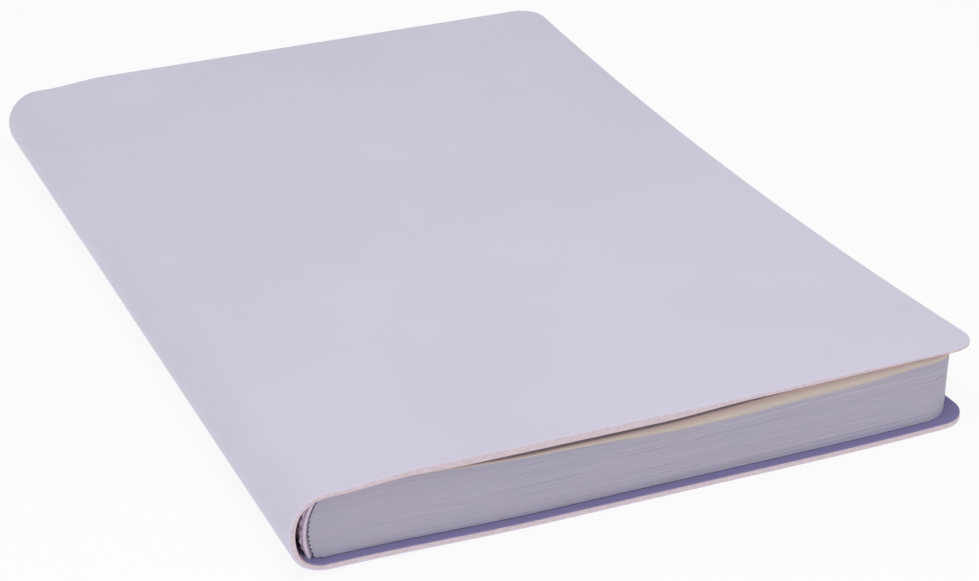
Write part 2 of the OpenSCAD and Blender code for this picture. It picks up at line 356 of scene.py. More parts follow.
def make_piece(name, points, faces, materials, sides=None, sharp=50.0):
    """A smooth-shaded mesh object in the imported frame, from points in the book's frame."""
    mesh = bpy.data.meshes.new(name)
    mesh.from_pydata(place(points).tolist(), [], [f[f >= 0].tolist() for f in faces])
    for material in materials:
        mesh.materials.append(material)
    if sides is not None:
        mesh.polygons.foreach_set("material_index", np.asarray(sides, np.int32))
    mesh.polygons.foreach_set("use_smooth", np.ones(len(mesh.polygons), bool))
    mesh.set_sharp_from_angle(angle=math.radians(sharp))
    mesh.validate()
    piece = bpy.data.objects.new(name, mesh)
    bpy.context.scene.collection.objects.link(piece)
    return piece


def add_attribute(piece, name, values):
    """Writes one number for each vertex, for a material to read."""
    piece.data.attributes.new(name, "FLOAT", "POINT").data.foreach_set("value", values.astype(np.float32))


def fore_rows(y_from, y_to, corner, corner_steps=14, straight_steps=84):
    """Rows of a sheet from tail to head, and how far each stops short of the fore line: a
    quarter circle at each end, y = r (1 - cos a) and short = r (1 - sin a)."""
    turn = np.linspace(0.0, math.pi / 2, corner_steps + 1)
    bow = corner * (1.0 - np.cos(turn))
    short = corner * (1.0 - np.sin(turn))
    straight = np.linspace(y_from + corner, y_to - corner, straight_steps + 1)[1:-1]
    rows = np.concatenate([y_from + bow, straight, (y_to - bow)[::-1]])
    return rows[:, None], np.concatenate([short, 0.0 * straight, short[::-1]])[:, None]


def fold_lines(cover, x_from):
    """Columns of a sheet across its fold: close together where it bends."""
    reach = cover.fold_reach
    bend = np.linspace(HINGE_INSET - reach, HINGE_INSET + reach, 17)
    return np.concatenate([[x_from] if x_from < bend[0] else [], bend[bend >= x_from]])


def fore_lines(cover, fore, steps=70):
    """Columns of a sheet from its fold to just short of its fore line, and the line itself."""
    start = HINGE_INSET + cover.fold_reach
    return np.concatenate([np.linspace(start, fore - 0.4 * MM, steps + 1)[1:], [fore]])


def pull_in(x, short, fore):
    """Draws the last 30 mm of each row back by what the row stops short."""
    reach = 30 * MM
    return x - short * np.clip((x - fore + reach) / reach, 0.0, 1.0)


# Materials

def start_material(name, roughness):
    """A material with only its shader and output, and the shader."""
    material = bpy.data.materials.new(name)
    material.use_nodes = True
    tree = material.node_tree
    shader = tree.nodes["Principled BSDF"]
    shader.inputs["Roughness"].default_value = roughness
    return material, tree, shader


def add_node(tree, kind, **values):
    """A shader node with its settings and the values or links of its inputs."""
    node = tree.nodes.new("ShaderNode" + kind)
    for name, value in values.items():
        plain = name.replace("_", " ")
        socket = next((s for s in node.inputs if s.name.lower() == plain and s.enabled), None)
        if socket is None:
            setattr(node, name, value)
        elif isinstance(value, bpy.types.NodeSocket):
            tree.links.new(value, socket)
        else:
            socket.default_value = value
    return node


def object_noise(tree, scale, detail=2.0, stretch=(1.0, 1.0, 1.0), roughness=0.5):
    """Noise over the piece's own place, finer as scale goes up, which is in features a metre."""
    place_node = add_node(tree, "TexCoord")
    turned = add_node(tree, "Mapping", vector=place_node.outputs["Object"])
    turned.inputs["Scale"].default_value = stretch
    noise = add_node(tree, "TexNoise", vector=turned.outputs["Vector"], scale=scale, detail=detail,
                     roughness=roughness)
    return noise.outputs["Fac"]


def between(tree, fac, low, high):
    """A smooth ramp that gives 0 where fac is low and 1 where it is high."""
    ramp = add_node(tree, "MapRange", interpolation_type="SMOOTHSTEP", value=fac, from_min=low,
                    from_max=high)
    return ramp.outputs["Result"]


def blend_colour(tree, fac, first, second):
    """A mix of two colours, each a value or a link."""
    mix = tree.nodes.new("ShaderNodeMix")
    mix.data_type = "RGBA"
    for socket, value in zip((mix.inputs[0], mix.inputs[6], mix.inputs[7]), (fac, first, second)):
        if isinstance(value, bpy.types.NodeSocket):
            tree.links.new(value, socket)
        elif isinstance(value, (int, float)):
            socket.default_value = value
        else:
            socket.default_value = (*value[:3], 1.0)
    return mix.outputs[2]


def math_node(tree, operation, first, second=0.0):
    """A sum, product or other arithmetic of two numbers, each a value or a link."""
    node = tree.nodes.new("ShaderNodeMath")
    node.operation = operation
    for socket, value in zip(node.inputs, (first, second)):
        if isinstance(value, bpy.types.NodeSocket):
            tree.links.new(value, socket)
        else:
            socket.default_value = value
    return node.outputs[0]


def set_bump(tree, shader, height, strength, distance):
    """Relief of the surface from a height between 0 and 1, over a depth in metres."""
    bump = add_node(tree, "Bump", strength=strength, distance=distance, height=height)
    tree.links.new(bump.outputs["Normal"], shader.inputs["Normal"])


def shade(base, amount):
    """A colour made lighter or darker by a factor."""
    return tuple(min(1.0, c * amount) for c in base)


def skin_material(cover):
    """Matt imitation leather: a fine pebble grain, faint clouds in its colour and its gloss."""
    material, tree, shader = start_material("lilac_skin", 0.52)
    clouds = between(tree, object_noise(tree, 22.0, 3.0), 0.3, 0.7)
    speckle = object_noise(tree, 2400.0, 2.0)
    clouded = blend_colour(tree, clouds, shade(cover.skin, 0.975), shade(cover.skin, 1.02))
    shade_fac = math_node(tree, "MULTIPLY", between(tree, speckle, 0.35, 0.75), 0.35)
    tree.links.new(blend_colour(tree, shade_fac, clouded, shade(cover.skin, 0.94)),
                   shader.inputs["Base Color"])
    place_node = add_node(tree, "TexCoord")
    pebbles = add_node(tree, "TexVoronoi", feature="SMOOTH_F1", vector=place_node.outputs["Object"],
                       scale=1.0 / cover.grain)
    height = math_node(tree, "ADD", pebbles.outputs["Distance"], object_noise(tree, 5200.0, 2.0))
    set_bump(tree, shader, height, 0.22, 0.03 * MM)
    gloss = math_node(tree, "MULTIPLY_ADD", object_noise(tree, 60.0, 3.0), 0.12)
    gloss.node.inputs[2].default_value = 0.46
    tree.links.new(gloss, shader.inputs["Roughness"])
    shader.inputs["Specular IOR Level"].default_value = 0.35
    return material


def backing_material(cover):
    """The fibrous core of the cover sheet, seen at its cut edge, with the skin's colour where the skin
    wraps over that edge. The front half's inside, round the spine too, takes the darker inside colour,
    partly the sheet's own and partly painted shade for the spine's hollow and the gap under the raw edge."""
    material, tree, shader = start_material("cover_backing", 0.85)
    fibres = object_noise(tree, 900.0, 4.0, stretch=(1.0, 1.0, 2.2), roughness=0.65)
    flecks = between(tree, object_noise(tree, 2600.0, 2.0), 0.55, 0.72)
    base = cover.backing
    mottled = blend_colour(tree, between(tree, fibres, 0.35, 0.68), shade(base, 0.92), shade(base, 1.06))
    pale = (min(1.0, base[0] * 1.12), min(1.0, base[1] * 1.22), min(1.0, base[2] * 1.2))
    core = blend_colour(tree, math_node(tree, "MULTIPLY", flecks, 0.35), mottled, pale)
    wrap = add_node(tree, "Attribute", attribute_name="skin_wrap").outputs["Fac"]
    unevenness = math_node(tree, "MULTIPLY", math_node(tree, "SUBTRACT", fibres, 0.5), 0.3)
    uneven = math_node(tree, "ADD", wrap, unevenness)
    # Partly painted shade: the front half's inside takes the darker inside colour.
    core = blend_colour(tree, between(tree, wrap, -0.97, -0.86), cover.inside, core)
    tree.links.new(blend_colour(tree, between(tree, uneven, -0.14, 0.16), core, cover.skin),
                   shader.inputs["Base Color"])
    set_bump(tree, shader, fibres, 0.5, 0.08 * MM)
    shader.inputs["Specular IOR Level"].default_value = 0.2
    return material


def paper_material(name, base, fleck=0.05):
    """Uncoated paper: short fibres in its relief and a faint fleck in its colour."""
    material, tree, shader = start_material(name, 0.8)
    fibres = object_noise(tree, 1800.0, 4.0, roughness=0.6)
    cloud = object_noise(tree, 120.0, 2.0)
    clouded = blend_colour(tree, cloud, shade(base, 1.0 - fleck), shade(base, 1.0 + fleck))
    tree.links.new(blend_colour(tree, math_node(tree, "MULTIPLY", between(tree, fibres, 0.4, 0.7), 0.3),
                                clouded, shade(base, 0.88)), shader.inputs["Base Color"])
    set_bump(tree, shader, fibres, 0.3, 0.02 * MM)
    shader.inputs["Specular IOR Level"].default_value = 0.25
    return material


def painted_shade_cream(leaves):
    """The bare paper's colour darkened and warmed as painted shade, where it lies in the shadow of the
    cover's edge.
    """
    return tuple(c * part for c, part in zip(leaves.cream, (0.78, 0.66, 0.69)))


def leaf_edge_material(leaves):
    """The trimmed edges of the leaves. The colour runs in streaks along each leaf: a tint, bare
    cream where the tint stops short, browned towards the top as painted shade under the cover's edge,
    lighter towards the bottom as painted light, and the pale edges of a few leaves that stand out, as a
    painted highlight."""
    material, tree, shader = start_material("leaf_edges", 0.62)
    height = add_node(tree, "Attribute", attribute_name="leaf_height").outputs["Fac"]
    run = add_node(tree, "Attribute", attribute_name="edge_run").outputs["Fac"]
    bare = add_node(tree, "Attribute", attribute_name="bare_paper").outputs["Fac"]
    pale = add_node(tree, "Attribute", attribute_name="lit_leaf_highlight").outputs["Fac"]

    def streaks(along, up, detail):
        where = add_node(tree, "CombineXYZ", x=math_node(tree, "MULTIPLY", run, along),
                         y=math_node(tree, "MULTIPLY", height, up))
        noise = add_node(tree, "TexNoise", vector=where.outputs["Vector"], scale=1.0, detail=detail)
        return noise.outputs["Fac"]

    fine = streaks(55.0, 190.0, 3.0)
    broad = streaks(16.0, 26.0, 2.0)
    tint = leaves.tint
    base = blend_colour(tree, between(tree, broad, 0.3, 0.7), shade(tint, 0.93), shade(tint, 1.06))
    cool = (tint[0] * 0.93, tint[1] * 1.0, tint[2] * 1.06)
    warm = (tint[0] * 1.07, tint[1] * 0.97, tint[2] * 0.97)
    patches = object_noise(tree, 90.0, 2.0, (1.0, 1.0, 2.5))
    hue = blend_colour(tree, between(tree, patches, 0.35, 0.65), cool, warm)
    base = blend_colour(tree, 0.45, base, hue)
    base = blend_colour(tree, math_node(tree, "MULTIPLY", between(tree, fine, 0.42, 0.75), 0.6),
                        base, shade(tint, 1.2))
    base = blend_colour(tree, math_node(tree, "MULTIPLY", between(tree, fine, 0.5, 0.2), 0.5),
                        base, shade(tint, 0.78))
    raggedness = math_node(tree, "MULTIPLY", math_node(tree, "SUBTRACT", fine, 0.5), 0.5)
    ragged = math_node(tree, "ADD", bare, raggedness)
    # Painted shade: the bare cream turns darker and browner towards the top, where the cover's edge shades
    # it.
    cream_in_painted_shade = blend_colour(tree, between(tree, bare, 0.35, 1.0), leaves.cream, painted_shade_cream(leaves))
    base = blend_colour(tree, between(tree, ragged, 0.0, 0.3), base, cream_in_painted_shade)
    # Painted light: the leaves are made lighter towards the bottom, in place of the light that the back
    # cover's ledge shades off.
    base = blend_colour(tree, math_node(tree, "MULTIPLY", between(tree, height, 0.35, 0.0), 0.4),
                        base, shade(tint, 1.25))
    # Painted highlight: the edges of the leaves that stand out are lighter, as if lit.
    base = blend_colour(tree, pale, base, shade(tint, 1.32))
    tree.links.new(base, shader.inputs["Base Color"])
    set_bump(tree, shader, fine, 0.55, 0.06 * MM)
    shader.inputs["Specular IOR Level"].default_value = 0.3
    return material


def woven_material(name, base, thread):
    """Cloth: two crossing sets of threads as waves, with a fleck in the colour."""
    material, tree, shader = start_material(name, 0.85)
    place_node = add_node(tree, "TexCoord")
    pitch = 1.0 / (thread * 3.2)
    waves = [add_node(tree, "TexWave", bands_direction=direction, vector=place_node.outputs["Object"],
                      scale=pitch, distortion=0.6).outputs["Fac"] for direction in ("Y", "Z")]
    weave = math_node(tree, "MAXIMUM", *waves)
    fleck = between(tree, object_noise(tree, 1300.0, 3.0), 0.4, 0.65)
    tone = blend_colour(tree, weave, shade(base, 0.82), shade(base, 1.08))
    tree.links.new(blend_colour(tree, math_node(tree, "MULTIPLY", fleck, 0.3), tone, shade(base, 0.8)),
                   shader.inputs["Base Color"])
    set_bump(tree, shader, weave, 0.5, 0.08 * MM)
    shader.inputs["Sheen Weight"].default_value = 0.15
    return material


# The pieces

# Turns round the spine, from the fore edge upwards: where the two halves of the cover sheet meet,
# low and out of sight, and where the back lining starts, beside the end of the bead
SEAM_TURN = 262.0
LINING_TURN = 230.0
BACK_LINING_INSET = 0.13 * MM
BACK_FLYLEAF_INSET = 0.1 * MM


def spine_arc(cover, radius, turn):
    """Part of the spine's section: a circle about its middle, with the angle from the fore
    edge upwards, swollen low on the spine by a bell curve of the angle. Returns its x and z."""
    swollen = radius + cover.spine_swell * np.exp(-((turn - math.radians(228.0)) / math.radians(22.0)) ** 2)
    return SPINE_RADIUS + swollen * np.cos(turn), SPINE_CENTRE + swollen * np.sin(turn)


def spine_inside(cover, turn):
    """The inside of the spine along the same turns: the nearer of the circle one thickness in
    and the inlay's own circle, whose centre lies further towards the fore edge by their
    difference. Along a ray at angle a, a circle of radius R centred at a distance c is met at
    c cos a + sqrt(R squared - (c sin a) squared)."""
    bore = SPINE_RADIUS - cover.thickness
    shift = cover.inlay_round + cover.spine_inlay - bore
    inlay = shift * np.cos(turn) + np.sqrt(cover.inlay_round ** 2 - (shift * np.sin(turn)) ** 2)
    return spine_arc(cover, np.minimum(bore, inlay), turn)


def add_skin_wrap(piece, sheet, outside_first):
    """Writes how far the skin wraps over the cut edge: 1 on the outside, -1 on the inside of
    the front (-0.8 on the back's, which is as pale as the edge), and between the two edges of
    the rim's flat strip a fall by 1 from the share of it that is wrapped. That share grows as a
    smooth step towards the spine and falls as another towards the fore corners."""
    rows, columns = sheet.shape[:2]
    order = rim_order(np.arange(rows * columns).reshape(rows, columns))
    along = sheet.reshape(-1, 3)[order, 0]
    near_spine = 1.0 - smooth_step(along / (9 * MM))
    near_fore = smooth_step((along - 90 * MM) / (30 * MM))
    wrapped = 0.06 + 0.26 * near_spine - 0.3 * near_fore
    deepest = -1.0 if outside_first else -0.8
    sides = [np.ones(rows * columns), np.full(rows * columns, deepest)]
    rings = [np.ones(len(order)), wrapped, np.maximum(wrapped - 1.0, -0.84), np.full(len(order), deepest)]
    if not outside_first:
        sides, rings = sides[::-1], rings[::-1]
    add_attribute(piece, "skin_wrap", np.concatenate(sides + rings))


def make_cover_front(context, skin, backing):
    """The cover sheet from the seam, round the spine and over the front. Its outside is the
    spine's circle and then the warped front, and its inside lies one thickness further in."""
    cover = context.scene.planner_cover
    rounding = cover.edge_round
    fore = COVER_WIDTH - rounding
    y, short = fore_rows(rounding, COVER_LENGTH - rounding, cover.corner - rounding)
    turn = np.linspace(math.radians(SEAM_TURN), math.pi / 2, 38)[None, :-1]
    x = np.concatenate([fold_lines(cover, SPINE_RADIUS), fore_lines(cover, fore)])[None]
    x = pull_in(x, short, fore)
    faces = []
    for depth, arc in ((0.0, spine_arc(cover, SPINE_RADIUS, turn)),
                       (cover.thickness + lip(cover, x, y), spine_inside(cover, turn))):
        over = stack(x, y, front_top(cover, x, y) - depth)
        faces.append(np.concatenate([stack(arc[0], y, arc[1]), over], 1))
    points, quads, sides = slab(faces[0], faces[1], rounding, open_start=True)
    piece = make_piece("cover_front_half", points, quads, [skin, backing], ~np.isin(sides, (0, 2)))
    add_skin_wrap(piece, faces[0], True)
    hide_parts("spine_cover", "front_cover")
    bend_over(piece)
    return piece


def make_cover_back(context, skin, backing):
    """The cover sheet from the seam, under the spine and along the back."""
    cover = context.scene.planner_cover
    rounding = cover.edge_round
    fore = BACK_COVER_WIDTH - rounding
    y, short = fore_rows(rounding, COVER_LENGTH - rounding, cover.corner - rounding)
    turn = np.linspace(math.radians(SEAM_TURN), math.pi * 1.5, 4)[None, :-1]
    x = np.concatenate([fold_lines(cover, SPINE_RADIUS), fore_lines(cover, fore)])[None]
    x = pull_in(x, short, fore)
    faces = []
    for depth, arc in ((cover.thickness, spine_inside(cover, turn)),
                       (0.0, spine_arc(cover, SPINE_RADIUS, turn))):
        over = stack(x, y, back_under(cover, x) + depth)
        faces.append(np.concatenate([stack(arc[0], y, arc[1]), over], 1))
    points, quads, sides = slab(faces[0], faces[1], rounding, open_start=True)
    piece = make_piece("cover_back_half", points, quads, [skin, backing], ~np.isin(sides, (1, 6)))
    add_skin_wrap(piece, faces[0], False)
    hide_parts("back_cover")
    bend_over(piece)
    return piece


def bend_over(piece):
    """Bakes the sheet's placement into its points."""
    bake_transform(piece)


def make_lining(context, name, node, paper, inset, side):
    """Paper pasted inside a cover, inset from the cover's edges. side is +1 for the front. The
    back one runs on round the inside of the spine, as far as the end of the bands."""
    cover = context.scene.planner_cover
    thick = context.scene.planner_leaves.lining_thick
    rounding = 0.05 * MM
    fore = (COVER_WIDTH if side > 0 else BACK_COVER_WIDTH) - inset
    y, short = fore_rows(inset, COVER_LENGTH - inset, cover.corner - inset)
    start = HINGE_INSET + 0.25 * MM if side > 0 else SPINE_RADIUS
    x = pull_in(np.concatenate([fold_lines(cover, start), fore_lines(cover, fore)])[None], short, fore)
    turn = np.radians(np.linspace(LINING_TURN, 270.0, 11))[None, :-1]
    sheets = []
    for depth in (cover.thickness, cover.thickness + thick):
        if side > 0:
            sheets.append(stack(x, y, front_top(cover, x, y) - depth))
        else:
            arc_x, arc_z = spine_arc(cover, SPINE_RADIUS - depth, turn)
            flat = stack(x, y, back_under(cover, x) + depth)
            sheets.insert(0, np.concatenate([stack(arc_x, y, arc_z), flat], 1))
    points, quads, _ = slab(*sheets, rounding)
    piece = make_piece(name, points, quads, [paper])
    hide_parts(node)
    bend_over(piece)
    return piece


def make_flyleaf(context, name, node, papers, inset, under, over):
    """One loose leaf between two heights. Its back follows the rounded back of the leaves and
    its fore line follows their hollow."""
    cover = context.scene.planner_cover
    leaves = context.scene.planner_leaves
    rounding = 0.06 * MM
    edge = inset + rounding
    y, short = fore_rows(END_SQUARE + edge, COVER_LENGTH - END_SQUARE - edge, leaves.corner - edge)
    back = max(leaf_back(leaves, over(HINGE_INSET, 0.0)) + rounding, SPINE_RADIUS - 0.9 * MM)
    fore = leaf_fore(leaves, over(BLOCK_FORE, y)) - edge
    inside = fold_lines(cover, back)
    beyond = np.linspace(0.0, 1.0, 71)[None, 1:]
    start = HINGE_INSET + cover.fold_reach
    inside = np.broadcast_to(inside[None], (len(y), len(inside)))
    x = np.concatenate([inside, start + (fore - start) * beyond], 1)
    x = pull_in(x, short, fore)
    points, quads, sides = slab(stack(x, y, over(x, y)), stack(x, y, under(x, y)), rounding)
    piece = make_piece(name, points, quads, papers, sides > 1)
    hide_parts(node)
    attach(piece, "page_body")
    return piece


def bare_depth(leaves, x, y):
    """How far below the top of the block the bare paper reaches. Along the tail it grows as a
    smooth step to the power 1.4 from the spine and halves again at the fore corner; elsewhere it
    is a thin line."""
    least = 0.25 * MM
    halved = 1.0 - 0.5 * smooth_step((x - 116 * MM) / (24 * MM))
    hump = smooth_step((x - 26 * MM) / (84 * MM)) ** 1.4 * halved
    tail = smooth_step((40 * MM - y) / (36 * MM))
    return least + (leaves.cream_depth - least) * hump * tail


def section_rows(leaves, rng):
    """Shares of the block's height: where one sewn section ends and the next begins, the rows
    of the grid, eight to a section and closer together at its ends, and for each row how far
    the section's rounded fold stands in, as a random share of s squared with s from -1 to 1."""
    count = leaves.sections
    ends = (np.arange(1, count) + 0.3 * (rng.random(count - 1) - 0.5)) / count
    limits = np.concatenate([[0.0], ends, [1.0]])
    across = -np.cos(np.linspace(0.0, math.pi, 9))[:-1]
    low, high = limits[:-1, None], limits[1:, None]
    rows = np.append((low + (high - low) * (1.0 + across[None]) / 2).ravel(), 1.0)
    uneven = 0.35 + 0.65 * rng.random(count)
    fold = np.append((uneven[:, None] * across[None] ** 2).ravel(), 1.0)
    return ends, rows, fold


def leaf_relief(leaves, rng, ends, height, run):
    """How far each leaf's edge stands in from the trimmed face. It sums a random offset for
    each row that drifts along the edge, and a groove between each two sewn sections, as a narrow
    bell curve whose depth drifts along the edge too."""
    rows, columns = len(height), len(run)
    knots = 24
    where = np.linspace(0.0, knots - 1.001, columns)
    low = where.astype(int)
    part = smooth_step(where - low)[None]

    def drift(count):
        values = rng.random((count, knots))
        return values[:, low] * (1.0 - part) + values[:, low + 1] * part

    rough = 0.045 * MM * drift(rows)
    bells = np.exp(-((height[:, None] - ends[None]) / 0.006) ** 2)
    depths = 0.11 * MM * drift(len(ends)) ** 2
    return rough + bells @ depths


def leaf_outline(leaves):
    """The outline of a leaf as one closed loop: y, how far the x of each point goes with the back
    line instead of the fore line, the quarter circle's sine, and the outward direction."""
    low_y, high_y = END_SQUARE, COVER_LENGTH - END_SQUARE
    corner = leaves.corner
    turn = np.linspace(0.0, math.pi / 2, 15)
    bow = corner * (1.0 - np.cos(turn))
    tail = np.linspace(0.0, 1.0, 96)[:-1]
    side = np.linspace(low_y + corner, high_y - corner, 130)[1:-1]
    back = np.linspace(high_y, low_y, 30)[1:-1]
    end, fore, spine = np.zeros(len(tail)), np.zeros(len(side)), np.zeros(len(back))
    rise, level = np.sin(turn), np.zeros(len(turn))
    y = np.concatenate([end + low_y, low_y + bow, side, (high_y - bow)[::-1], end + high_y, back])
    to_back = np.concatenate([1.0 - tail, level, fore, level, 1.0 - tail[::-1], spine + 1.0])
    sine = np.concatenate([end, rise, fore + 1.0, rise[::-1], end, spine])
    normal_x = np.concatenate([end, rise, fore + 1.0, rise[::-1], end, spine - 1.0])
    normal_y = np.concatenate([end - 1.0, -np.cos(turn), fore, np.cos(turn)[::-1], end + 1.0, spine])
    return y, to_back, sine, normal_x, normal_y


def make_pages(context, material):
    """All the bound leaves. Row t of the grid is the leaf at the share t of the way up, and each
    column is one place on the outline: along the tail, round a quarter circle, along the fore
    edge, round again, along the head and down the rounded back. A column's x is the back line
    or the fore line of that leaf's height, mixed along the tail and head, plus the quarter
    circle's sine. Three passes settle the height and the x, which depend on each other."""
    cover = context.scene.planner_cover
    leaves = context.scene.planner_leaves
    y, to_back, sine, normal_x, normal_y = leaf_outline(leaves)
    corner = leaves.corner
    rng = np.random.default_rng(7)
    ends, height, fold = section_rows(leaves, rng)
    t = height[:, None]
    notch = leaves.fold_depth * (1.0 - 0.75 * smooth_step(t / 0.8)) * fold[:, None]
    x = HINGE_INSET + (BLOCK_FORE - HINGE_INSET) * (1.0 - to_back)
    x = np.broadcast_to(x, (len(height), len(y)))
    for _ in range(3):
        under = block_under(cover, leaves, x)
        top = block_top(cover, leaves, x, y)
        z = under + t * (top - under)
        fore = (1.0 - to_back) * (leaf_fore(leaves, z) - corner) + corner * sine
        x = to_back * (leaf_back(leaves, z) + notch) + fore
    steps = np.hypot(np.diff(x[60], append=x[60, :1]), np.diff(y, append=y[:1]))
    run = np.concatenate([[0.0], np.cumsum(steps)[:-1]])
    inset = leaf_relief(leaves, rng, ends, height, run)
    pale, step_in = standing_leaves(height, x, y)
    inset = inset + step_in
    points = stack(x - normal_x * inset, y - normal_y * inset, z)
    bare = 1.0 - (top - z) / bare_depth(leaves, x, y)
    count = points.shape[0] * points.shape[1]
    index = np.arange(count).reshape(points.shape[:2])
    shrink = np.array([0.97, 0.85, 0.6, 0.3])[:, None, None]
    middle = np.array([(BLOCK_BACK + BLOCK_FORE) / 2, COVER_LENGTH / 2, 0.0])
    caps, faces = [], [grid_quads(index, closed=True)]
    start = count
    for edge, level, flip in ((points[-1], lambda a, b: block_top(cover, leaves, a, b), False),
                              (points[0], lambda a, b: block_under(cover, leaves, a) + 0.0 * b, True)):
        rings = middle + (edge[None] - middle) * shrink
        rings[..., 2] = level(rings[..., 0], rings[..., 1])
        pole = middle.copy()
        pole[2] = level(middle[0], middle[1])
        ring_index = start + np.arange(4 * len(edge)).reshape(4, -1)
        outline = index[0] if flip else index[-1]
        quads = grid_quads(np.concatenate([outline[None], ring_index]), closed=True)
        last = ring_index[-1]
        fan = np.stack([last, np.roll(last, -1), np.full(len(last), start + 4 * len(edge))], -1)
        fan = np.concatenate([fan, np.full((len(fan), 1), -1)], -1)
        faces += [quads[:, ::-1], fan[:, [1, 0, 2, 3]]] if flip else [quads, fan]
        caps += [rings.reshape(-1, 3), pole[None]]
        start += 4 * len(edge) + 1
    all_points = np.concatenate([points.reshape(-1, 3), *caps])
    piece = make_piece("page_stack", all_points, np.concatenate(faces), [material], sharp=60.0)
    extra = len(all_points) - count
    grid = index.shape
    for name, values, rest in (("leaf_height", np.broadcast_to(t, grid), 0.5),
                               ("edge_run", np.broadcast_to(run, grid), 0.0),
                               ("bare_paper", bare, 1.0), ("lit_leaf_highlight", pale, 0.0)):
        add_attribute(piece, name, np.concatenate([values.ravel(), np.full(extra, rest)]))
    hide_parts("page_block")
    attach(piece, "page_body")
    return piece


def standing_leaves(height, x, y):
    """Two leaves whose edges stand out near the fore corner, and the last section, which is
    set back under the lower one. Returns how pale each point is, as a painted highlight on those lit edges,
    and how far it is set back."""
    t = height[:, None]
    fore = smooth_step((x - 66 * MM) / (40 * MM))
    tail = smooth_step((30 * MM - y) / (10 * MM))
    low, high = 0.115, 0.735
    lower = np.exp(-((t - low) / 0.007) ** 2) * fore * tail
    upper = np.exp(-((t - high) / 0.006) ** 2) * smooth_step((x - 76 * MM) / (22 * MM)) * tail
    below = smooth_step((low - 0.008 - t) / 0.006)
    return np.clip(0.8 * lower + 0.6 * upper, 0.0, 1.0), 0.1 * MM * below * fore * tail


def back_arc(leaves, radius, turn):
    """A circle about the axis of the leaves' rounded back, with turn upwards from the spine."""
    return (BLOCK_BACK + leaves.back_round - radius * np.cos(turn),
            leaves.back_round_height + radius * np.sin(turn))


def clear_span(context, radius, margin, reach=0.0):
    """The lowest and highest turn of an arc round the leaves' back that ends level with the
    leaves, or reaches down past them, and keeps a margin from the inside of the spine."""
    cover = context.scene.planner_cover
    leaves = context.scene.planner_leaves
    centre = leaves.back_round_height
    lowest = (block_under(cover, leaves, HINGE_INSET) - reach - centre) / leaves.back_round
    highest = (block_top(cover, leaves, HINGE_INSET, 0.0) - centre) / leaves.back_round
    turn = np.linspace(math.asin(lowest), math.asin(highest), 401)
    x, z = back_arc(leaves, radius, turn)
    inside = np.hypot(x - SPINE_RADIUS, z - SPINE_CENTRE) < SPINE_RADIUS - cover.thickness - margin
    return turn[inside].min(), turn[inside].max()


def make_spine_cloth(context, material):
    """Cloth glued round the back of the leaves: a shell between two circles."""
    leaves = context.scene.planner_leaves
    spine = context.scene.planner_spine
    low, high = clear_span(context, leaves.back_round + spine.cloth_thick, spine.clearance)
    turn = np.linspace(low, high, 40)[None]
    rounding = 0.08 * MM
    end = END_SQUARE + spine.cloth_end + rounding
    y = np.linspace(end, COVER_LENGTH - end, 120)[:, None]
    shells = []
    for radius in (leaves.back_round + spine.cloth_thick, leaves.back_round):
        x, z = back_arc(leaves, radius, turn)
        shells.append(stack(x, y, z))
    points, quads, _ = slab(shells[0], shells[1], rounding)
    piece = make_piece("spine_cloth_shell", points, quads, [material])
    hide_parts("spine_lining")
    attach(piece, "page_body")
    return piece


